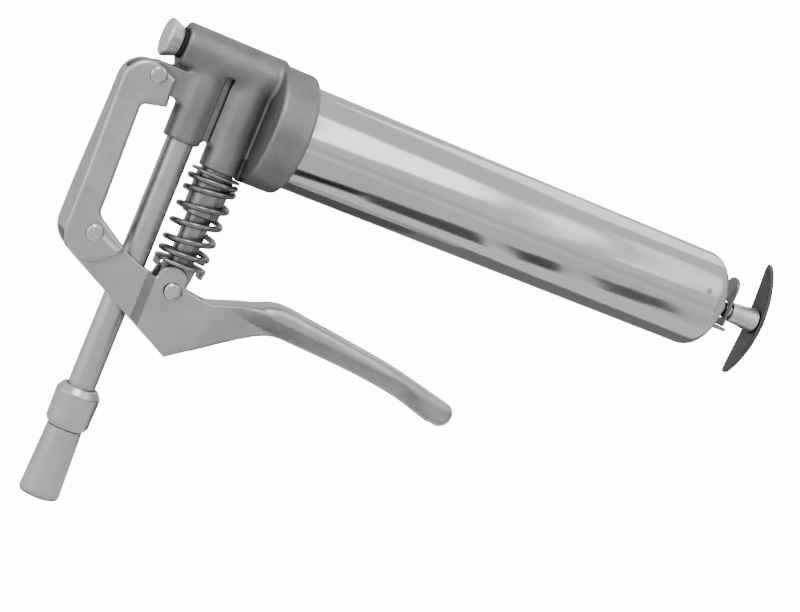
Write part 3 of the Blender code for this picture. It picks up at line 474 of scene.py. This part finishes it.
LINK_LEFT = LEVER_PIN[0] - 10.5
LINK_RIGHT = LINK_LEFT + 10.0
LINK_OUTLINE = (
    [(LINK_PIN[0] + 7.1, LINK_PIN[1] - 9.6), (LINK_PIN[0] + 6.6, LINK_PIN[1] + 0.8)]
    + arc((LINK_LEFT + 9.0, LINK_PIN[1] - 4.9), 9.0, 76, 180, 24)
    + arc(LEVER_PIN, 10.5, 180, 322, 30)
    + [(LEVER_PIN[0] + 12.2, LEVER_PIN[1] - 3.6), (LEVER_PIN[0] + 11.8, LEVER_PIN[1] - 1.4),
       (LINK_RIGHT + 1.4, LEVER_PIN[1] + 5.6)]
    + arc((LINK_RIGHT + 3.0, LEVER_PIN[1] + 8.3), 3.0, 215, 180, 8)
    + arc((LINK_RIGHT + 1.6, LINK_PIN[1] - 12.8), 1.6, 180, 95, 8))


def link_field(p):
    """Two cheeks and a web, closer together at the head, with a bead by the lower eye."""
    half = between(p[:, 2], [-41.6, -9.6], [LINK_HALF_LEVER, LINK_HALF_HEAD])
    far = 22.0                   # past the link's open side
    low, high = LEVER_PIN[1] - 2.9, LINK_PIN[1] - 1.4
    hollow = [(LINK_LEFT - 5, low - 30), (far, low - 30), (far, high + 30),
              (LINK_LEFT - 5, high + 30), (LINK_LEFT - 5, high), (LINK_LEFT + PLATE, high),
              (LINK_LEFT + PLATE, low), (LINK_LEFT - 5, low)]
    # A bead pressed outwards from the lower eye to the cheek's corner
    start, along = np.array(LEVER_PIN), np.array([11.6, -5.2])
    share = np.clip(((p[:, 0] - start[0]) * along[0] + (p[:, 2] - start[1]) * along[1])
                    / (along @ along), 0, 1)
    beside = np.hypot(p[:, 0] - start[0] - along[0] * share, p[:, 2] - start[1] - along[1] * share)
    half = half + 0.7 * np.exp(-(beside / 1.1) ** 2)
    shell = sheet_channel(p, LINK_OUTLINE, hollow, half, 2.2)
    for at in (LINK_PIN, LEVER_PIN):
        away = np.hypot(p[:, 0] - at[0], p[:, 2] - at[1])
        shell = less(shell, away - PIN_HOLE_R, 0.3)
    return shell


piece("link_pressing", *skin(link_field, (-30, -10, -68), (-4, 10, 10), 0.42), PRESSED, "link",
      ["link"])


def grip(part, drop):
    """A point on the lever's grip: a share of its length past the plunger pin, and a height."""
    return (PLUNGER_X + part * 118.6, PLUNGER_PIN[1] + drop)


LEVER_TOP = smooth([grip(0.125, 0.2), grip(0.245, 4.4), grip(0.345, 7.9), grip(0.47, 6.2),
                    grip(0.60, 3.9), grip(0.77, 0.6), grip(0.905, -3.1)], 8)
LEVER_UNDER = smooth([grip(0.92, -14.0), grip(0.80, -9.6), grip(0.645, -6.4), grip(0.43, -3.9),
                      grip(0.335, -3.6), grip(0.25, -8.2)], 8)
EAR = (PLUNGER_X - 1.6, PLUNGER_PIN[1] + 3.3)
LEVER_OUTLINE = (
    arc(LEVER_PIN, 8.2, 110, 205, 16)
    + [(LEVER_PIN[0] - 5.1, LEVER_PIN[1] - 9.4), (PLUNGER_X + 6.0, PLUNGER_PIN[1] - 23.3)]
    + LEVER_UNDER[::-1]
    + arc(grip(0.965, -9.6), 5.2, 48, -112, 18)[::-1]
    + LEVER_TOP[::-1]
    + [(EAR[0] + 6.9, PLUNGER_PIN[1] + 1.6), (EAR[0] + 5.6, EAR[1] - 0.6)]
    + arc(EAR, 5.6, 0, 180, 18)
    + [(8.5, EAR[1] - 0.4), (-3.6, LEVER_PIN[1] - 3.4)])
NOSE = arc(grip(0.965, -9.6), 3.7, 48, -20, 10)
ROOF = [(x, z - PLATE) for x, z in LEVER_TOP]
LEVER_HOLLOW = ([(-48, -15), (ROOF[0][0] - 1.6, -15), (ROOF[0][0] - 1.6, ROOF[0][1])] + ROOF + NOSE
                + [(NOSE[-1][0], -126), (-48, -126)])


def lever_field(p):
    """Deep channel that joggles in past the tube, then swells to a grip that draws in below."""
    x, y, z = p[:, 0], p[:, 1], p[:, 2]
    half = between(x, [5.2, 9.0, 28.5, 58.5, 105.5, 135.1],
                   [6.85, LEVER_HALF, LEVER_HALF, 7.2, 7.2, 5.6])
    # The height along the grip below which its cheeks draw in
    waist = between(x, [30, 44, 52, 66, 83, 110, 128], [-61, -64, -65.4, -67, -69, -72.2, -77])
    share = between(x, [32, 50, 112, 126], [0, 1, 1, 0])
    half = half - share * between(z - waist, [-3.4, -2.8, 2.4, 3.2], [1.62, 1.56, 0.06, 0])
    # Only the top edge is rolled; the lower edge stays the sheet's own
    roll = between(x, [24, 50, 125, 136], [0.9, 4.2, 4.2, 3.0])
    roll = 0.8 + (roll - 0.8) * np.clip((z - waist) / 4, between(x, [118, 132], [0, 0.7]), 1)
    shell = sheet_channel(p, LEVER_OUTLINE, LEVER_HOLLOW, half, roll)
    away = np.hypot(x - LEVER_PIN[0], z - LEVER_PIN[1])
    shell = less(shell, away - PIN_HOLE_R, 0.3)
    # The plunger pin's hole is a short slot along X
    run = np.maximum(np.abs(x - PLUNGER_PIN[0]) - 0.9, 0)
    return less(shell, np.hypot(run, z - PLUNGER_PIN[1]) - PIN_HOLE_R, 0.3)


piece("lever_pressing", *skin(lever_field, (-28, -9, -92), (138, 9, -54), 0.5), PRESSED, "lever",
      ["lever"])


def rivet(at, half):
    """A pin along Y with a low domed head outside each cheek."""
    inner, outer = half + 0.3, half + 1.1
    return turned([(0, -outer, 0), (2.3, -outer, 1.5), (3.1, -inner - 0.1, 0.2), (3.1, -inner, 0.1),
                   (2.0, -inner, 0.1), (2.0, inner, 0.1), (3.1, inner, 0.1),
                   (3.1, inner + 0.1, 0.2), (2.3, outer, 1.5), (0, outer, 0)],
                  "Y", (at[0], 0, at[1]), 40)


piece("link_pin_rivet", *rivet(LINK_PIN, LINK_HALF_HEAD), BRIGHT, "head", ["link_pin"])
piece("lever_pin_rivet", *rivet(LEVER_PIN, LINK_HALF_LEVER), BRIGHT, "link", ["lever_pin"])
piece("plunger_pin_rivet", *rivet(PLUNGER_PIN, LEVER_HALF), BRIGHT, "plunger", ["plunger_pin"])


# ---- Pump ------------------------------------------------------------------------------------

at_pump = (PLUNGER_X, 0, 0)
piece("gland_nut", *turned([(5.0, -15.3, 0.2), (5.9, -15.3, 0.2), (5.9, -22.5, 0.1),
                            (9.0, -22.5, 0.2), (9.0, -23.3, 0.2), (6.8, -23.3, 0.4),
                            (6.8, -38.5, 0.8), (5.0, -38.5, 0.3)], "Z", at_pump), OILED, "head",
      ["plunger_gland"])


def plunger_field(p):
    """Ground rod that narrows to a flat eye for the lever's pin."""
    bar = round_bar(p, 2, (PLUNGER_X, 0), 4.7, -56.9, -10, 0.6)
    neck = round_bar(p, 2, (PLUNGER_X, 0), 3.2, -61, -55, 0.4)
    eye = both(inside_of(p, [(PLUNGER_X + 5.6, -57.3), (PLUNGER_X - 5.6, -57.3),
                             (PLUNGER_X - 5.6, -59.2)]
                         + arc((PLUNGER_X, PLUNGER_PIN[1]), 4.6, 180, 360, 24)
                         + [(PLUNGER_X + 5.6, -59.2)]), np.abs(p[:, 1]) - 3.2, 0.6)
    body = either(either(bar, neck, 0.4), eye, 0.8)
    pivot = np.hypot(p[:, 0] - PLUNGER_X, p[:, 2] - PLUNGER_PIN[1]) - PIN_HOLE_R
    return less(body, pivot, 0.3)


piece("plunger", *skin(plunger_field, (10, -6, -72), (23, 6, -9), 0.4), OILED, "plunger",
      ["plunger_rod"])


def seat_field(p):
    """Pressed washer with two tabs bent down beside the plunger's eye."""
    away = np.hypot(p[:, 0] - PLUNGER_X, p[:, 1])
    disc = both(away - 9.6, np.abs(p[:, 2] + 56.4) - 0.6, 0.5)
    tabs = both(np.abs(np.abs(p[:, 0] - PLUNGER_X) - 8.35) - 0.65,
                both(np.abs(p[:, 1]) - 3.2, np.abs(p[:, 2] + 57.8) - 1.8, 0.5), 0.4)
    return less(either(disc, tabs, 0.5), away - 5.0, 0.3)


piece("spring_seat_pressing", *skin(seat_field, (6, -10.5, -60.5), (27, 10.5, -55), 0.35), OILED,
      "plunger", ["spring_seat"])


def press(coil):
    """Gives a spring's wire a mesh of its own."""
    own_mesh(coil)


SPRING_LOW, SPRING_TOP = -55.5, -23.6
spring = piece("return_spring_coil",
               *coiled("Z", (PLUNGER_X, 0, SPRING_LOW), 8.4, 1.1, SPRING_TOP - SPRING_LOW, 6.0),
               WIRE, "head", ["return_spring"])
press(spring)


# ---- Extension tube and coupler --------------------------------------------------------------

piece("tube", *turned([(2.0, -116.9, 0.2), (5.0, -116.9, 0.4), (5.0, -9.3, 0.4), (2.0, -9.3, 0.2)],
                      sides=72), PLATED, "head", ["extension_tube"])
piece("coupler_collar", *turned([(5.3, -109.5, 0.2), (6.4, -109.5, 0.9), (8.1, -112.0, 1.4),
                                 (7.8, -123.2, 1.2), (6.6, -124.9, 0.4), (5.1, -124.9, 0.1),
                                 (5.1, -133.2, 0.2), (3.7, -133.2, 0.1), (3.7, -127.7, 0.1),
                                 (1.5, -127.7, 0.1), (1.5, -117.2, 0.1), (5.3, -117.2, 0.1)]),
      PLATED, "head", ["coupler_body"])
piece("coupler_nose_sleeve", *turned([(5.4, -125.2, 0.1), (6.4, -125.2, 0.5),
                                      (7.4, NOSE_Z + 1.0, 0.8), (6.9, NOSE_Z, 0.5),
                                      (4.3, NOSE_Z, 0.3), (4.3, NOSE_Z + 1.6, 0.2),
                                      (5.4, NOSE_Z + 8.0, 0.3)]), PLATED, "head",
      ["coupler_sleeve"])


coupler_spring = piece("coupler_spring_coil", *coiled("Z", (0, 0, -135.8), 2.9, 0.35, 7.8, 5.0),
                       WIRE, "head", ["coupler_spring"])
press(coupler_spring)
check_spring = piece("outlet_check_coil", *coiled("Z", (0, 0, -9.0), 2.4, 0.25, 5.5, 4.0), WIRE,
                     "head", ["outlet_check_spring"])
press(check_spring)


# ---- Barrel, follower and handle -------------------------------------------------------------

def barrel_shell():
    """The drawn tube with its rolled end: a thin wall that turns in to a hole for the rod."""
    return turned(
        [(BARREL_R, BARREL_X, 0.3), (BARREL_R, 60, 0), (BARREL_R, 100, 0), (BARREL_R, 140, 0),
         (BARREL_R, 180, 0), (BARREL_R, BARREL_END, 6.0), (4.6, BARREL_END, 0.3),
         (4.6, BARREL_END - 0.9, 0.3), (18.1, BARREL_END - 0.9, 5.1), (18.1, BARREL_X, 0.3)],
        "X", sides=192, steps=9)


piece("barrel", *barrel_shell(), CHROME, "barrel", ["barrel_tube"])
piece("barrel_crimp", *turned([(0, 0.25, 0), (0.9, 0.25, 0.3), (1.4, -0.3, 0.2), (0, -0.3, 0)],
                              "Y", (208.5, -18.35, 4.9), 32), BRIGHT, "barrel")
follower_spring = piece("follower_spring_coil",
                        *coiled("X", (45.7, 0, 0), 12.5, 0.8, 170.4, 18.0), WIRE, "barrel",
                        ["follower_spring"])
press(follower_spring)
piece("follower_rod_bar", *turned(
    [(0, 39.7, 0), (1.9, 39.7, 0.3), (1.9, 45.4, 0.1), (3.0, 45.4, 0.2), (3.0, HANDLE_X - 1.2, 0.2),
     (2.3, HANDLE_X - 1.2, 0.1), (2.3, HANDLE_X + 2.3, 0.1), (3.9, HANDLE_X + 2.3, 0.2),
     (3.4, HANDLE_X + 3.3, 0.6), (0, HANDLE_X + 3.5, 0)], "X", sides=64), BRIGHT, "follower",
      ["follower_rod"])
piece("rod_shoulder", *turned([(3.3, 231.2, 0.1), (3.9, 231.2, 0.3), (4.2, 236.5, 8.0),
                               (5.0, HANDLE_X - 0.3, 0.4), (3.3, HANDLE_X - 0.3, 0.1)],
                              "X", sides=64), PALE, "follower", ["rod_collar"])


def handle_field(p):
    """Leaf-shaped strip across the rod, arched towards the barrel, with rolled edges."""
    reach = p[:, 2] / 23.5
    half = 5.6 * np.maximum(1 - reach ** 2, 0.0) ** 0.6
    middle = HANDLE_X + 1.0 - 4.0 * reach ** 2
    slope = np.sqrt(1 + (8 * reach / 23.5) ** 2)
    across = (np.abs(p[:, 1]) - half) / np.sqrt(1 + (0.35 * reach) ** 2)
    strip = both(across, np.abs(p[:, 0] - middle) / slope - 0.95, 0.9)
    strip = both(strip, np.abs(p[:, 2]) - 23.3, 0.9)
    return less(strip, np.hypot(p[:, 1], p[:, 2]) - 2.6, 0.3)


piece("handle_strip", *skin(handle_field, (237, -6, -25), (247.5, 6, 25), 0.32), BLACKED,
      "follower", ["t_handle"])


def lock_field(p):
    """Tab with a round top and a hole that bites on the rod."""
    outline = np.stack([p[:, 1], p[:, 0], p[:, 2]], 1)
    shape = ([(-4.6, -6.4), (4.6, -6.4)] + arc((0, 13.4 - 4.6), 4.6, 0, 180, 24))
    tab = both(inside_of(outline, shape), np.abs(p[:, 0] - 228.6) - 0.75, 0.5)
    return less(tab, np.hypot(p[:, 1], p[:, 2]) - 3.55, 0.3)


piece("lock_tab", *skin(lock_field, (227, -6, -8), (230.4, 6, 15), 0.3), WIRE, "rod_lock",
      ["rod_lock_tab"])


# ---- Bleed plug ------------------------------------------------------------------------------

piece("bleed_plug_knob", *turned([(0, -18.8, 0), (6.4, -18.8, 0.6), (7.0, -18.1, 0.5),
                                  (5.3, -13.5, 0.4), (3.6, -13.5, 0.2), (3.6, -3.0, 0.4),
                                  (0, -3.0, 0)], "X", (0, 0, TOP_BOSS_Z), 96), PALE, "bleed_plug",
      ["bleed_plug"])


# ---- Studio ----------------------------------------------------------------------------------

def flat(name, corners, finish):
    """One stage surface through four corners in the gun's millimetres."""
    mesh = bpy.data.meshes.new(name)
    mesh.from_pydata(((np.array(corners, float) + SHIFT) * MM).tolist(), [], [(0, 1, 2, 3)])
    mesh.materials.append(finish)
    thing = bpy.data.objects.new(name, mesh)
    bpy.context.scene.collection.objects.link(thing)
    return thing


def glow(name, code, strength):
    """A plain surface that only gives light."""
    finish = bpy.data.materials.new(name)
    finish.use_nodes = True
    tree = finish.node_tree
    tree.nodes.clear()
    lamp = put(tree, "Emission", Color=colour(code), Strength=strength)
    put(tree, "OutputMaterial", {"Surface": lamp.outputs[0]})
    return finish


def studio_floor():
    """Pale matt paper, burnt out to white like the surround behind it."""
    finish = bpy.data.materials.new("pale_matt_paper")
    finish.use_nodes = True
    shader = finish.node_tree.nodes["Principled BSDF"]
    seen = put(finish.node_tree, "LightPath").outputs["Is Camera Ray"]
    over = put(finish.node_tree, "Math", operation="MULTIPLY")
    over.inputs[1].default_value = BURNT_OUT
    finish.node_tree.links.new(seen, over.inputs[0])
    finish.node_tree.links.new(over.outputs[0], shader.inputs["Emission Strength"])
    shader.inputs["Base Color"].default_value = colour("e8e8e8")
    shader.inputs["Roughness"].default_value = 0.9
    shader.inputs["Specular IOR Level"].default_value = 0.1
    shader.inputs["Emission Color"].default_value = (1, 1, 1, 1)
    return finish


FAR = 30000.0                    # half the floor's side
BURNT_OUT = 14.0                 # how bright the camera sees the surround, so that it is white
SURROUND = 0.75                  # how much light the surround gives
flat("studio_floor", [(-FAR, -FAR, NOSE_Z - 0.05), (FAR, -FAR, NOSE_Z - 0.05),
                      (FAR, FAR, NOSE_Z - 0.05), (-FAR, FAR, NOSE_Z - 0.05)], studio_floor())


def reflector(name, corners, code, strength):
    """A card that only shows in reflections, as a softbox or a black flag out of view does."""
    card = flat(name, corners, glow(name + "_face", code, strength))
    card.visible_camera = card.visible_diffuse = card.visible_shadow = False
    return card


def ground(name, corners, code, z=-140.0):
    """A level card under the gun, from (x, y) corners: the barrel's belly and the grip show it."""
    return reflector(name, [(x, y, z) for x, y in corners], code, 1.0)


ground("near_card", [(-300, -420), (420, -420), (420, -85), (-300, -85)], "d2d2d4")
# Four dark strips and the gaps between them: they draw the broken line along the belly
ground("dark_strip", [(40, -46), (108, -81), (100, -48), (40, -12)], "1e1e20", -100)
ground("grey_strip", [(108, -85), (170, -110), (160, -44), (100, -38)], "505052", -100)
ground("short_strip", [(206, -136), (246, -168), (218, -74), (192, -58)], "464648", -138)
ground("end_strip", [(268, -175), (352, -250), (300, -120), (243, -78)], "5c5c5e", -138)
# Under the barrel's far side: its lower edge falls off to grey, darkest beside the head
ground("far_card_dark", [(40, 18), (140, 6), (190, 300), (40, 300)], "58585a")
ground("far_card_grey", [(140, 6), (480, 40), (480, 300), (190, 300)], "78787a")


def upright(name, corners, strength):
    """A white box in front of the gun, from (x, z) corners."""
    return reflector(name, [(x, -400, z) for x, z in corners], "ffffff", strength)


# One long box and two small ones: the barrel's bright band, broken into patches
upright("long_box", [(150, 85), (294, 192), (462, 721), (340, 870)], 2.7)
upright("small_box", [(310, 21), (351, 137), (617, 862), (399, 433)], 2.0)
upright("end_box", [(372, 99), (440, 128), (1162, 1645), (713, 971)], 1.5)
# Black flag beyond the handle: draws the joggle and the right-hand side of the upright pieces
reflector("side_flag", [(650, -620, -500), (650, 300, -500), (650, 300, 230), (650, -620, 230)],
          "1c1c1e", 1.0)
# Grey card close past the handle: keeps the flag out of the barrel's rolled end
reflector("end_card", [(330, -160, -70), (330, 60, -70), (330, 60, 80), (330, -160, 80)],
          "c8c8ca", 1.0)
# White card at the other end: lifts the link's web and the left-hand edges
reflector("edge_card", [(-600, -500, -250), (-600, 200, -250), (-600, 200, 350), (-600, -500, 350)],
          "ffffff", 1.7)


def area(name, at, aim, size, power):
    """A soft square lamp that looks at a point."""
    lamp = bpy.data.lights.new(name, "AREA")
    lamp.size, lamp.energy = size * MM, power
    thing = bpy.data.objects.new(name, lamp)
    place, target = ((np.array(v, float) + SHIFT) * MM for v in (at, aim))
    thing.location = place
    thing.rotation_euler = (Vector(target) - Vector(place)).to_track_quat("-Z", "Y").to_euler()
    bpy.context.scene.collection.objects.link(thing)
    return thing


area("key_softbox", (-260, -520, 620), (60, 0, -30), 420, 3.0)
area("rim_softbox", (420, 260, 420), (80, 0, -20), 300, 0.25)

world = bpy.data.worlds.new("white_surround")
world.use_nodes = True
backdrop = world.node_tree.nodes["Background"]
backdrop.inputs["Color"].default_value = (1, 1, 1, 1)
seen = put(world.node_tree, "LightPath").outputs["Is Camera Ray"]
strength = put(world.node_tree, "MapRange", {"Value": seen}, To_Min=SURROUND,
               To_Max=BURNT_OUT)
world.node_tree.links.new(strength.outputs[0], backdrop.inputs["Strength"])
bpy.context.scene.world = world


def camera():
    """From the gun's side, a little above it, rolled so that the barrel slopes down."""
    turn, rise, roll = 0.4039, 0.0939, 0.397
    forward = Vector((math.sin(turn) * math.cos(rise), math.cos(turn) * math.cos(rise),
                      -math.sin(rise)))
    right = forward.cross(Vector((0, 0, 1))).normalized()
    up = right.cross(forward)
    across = right * math.cos(roll) + up * math.sin(roll)
    above = up * math.cos(roll) - right * math.sin(roll)
    target = Vector((100.75, 0, -43.55)) + Vector(SHIFT)
    place = (target - forward * 711.75) * MM
    lens = bpy.data.cameras.new("camera")
    lens.sensor_width = 36.0
    lens.lens = 1926.61 / 800 * lens.sensor_width
    lens.clip_start, lens.clip_end = 0.01, 100.0
    eye = bpy.data.objects.new("camera", lens)
    basis = Matrix((across, above, -forward)).transposed().to_4x4()
    eye.matrix_world = Matrix.Translation(place) @ basis
    bpy.context.scene.collection.objects.link(eye)
    bpy.context.scene.camera = eye


camera()
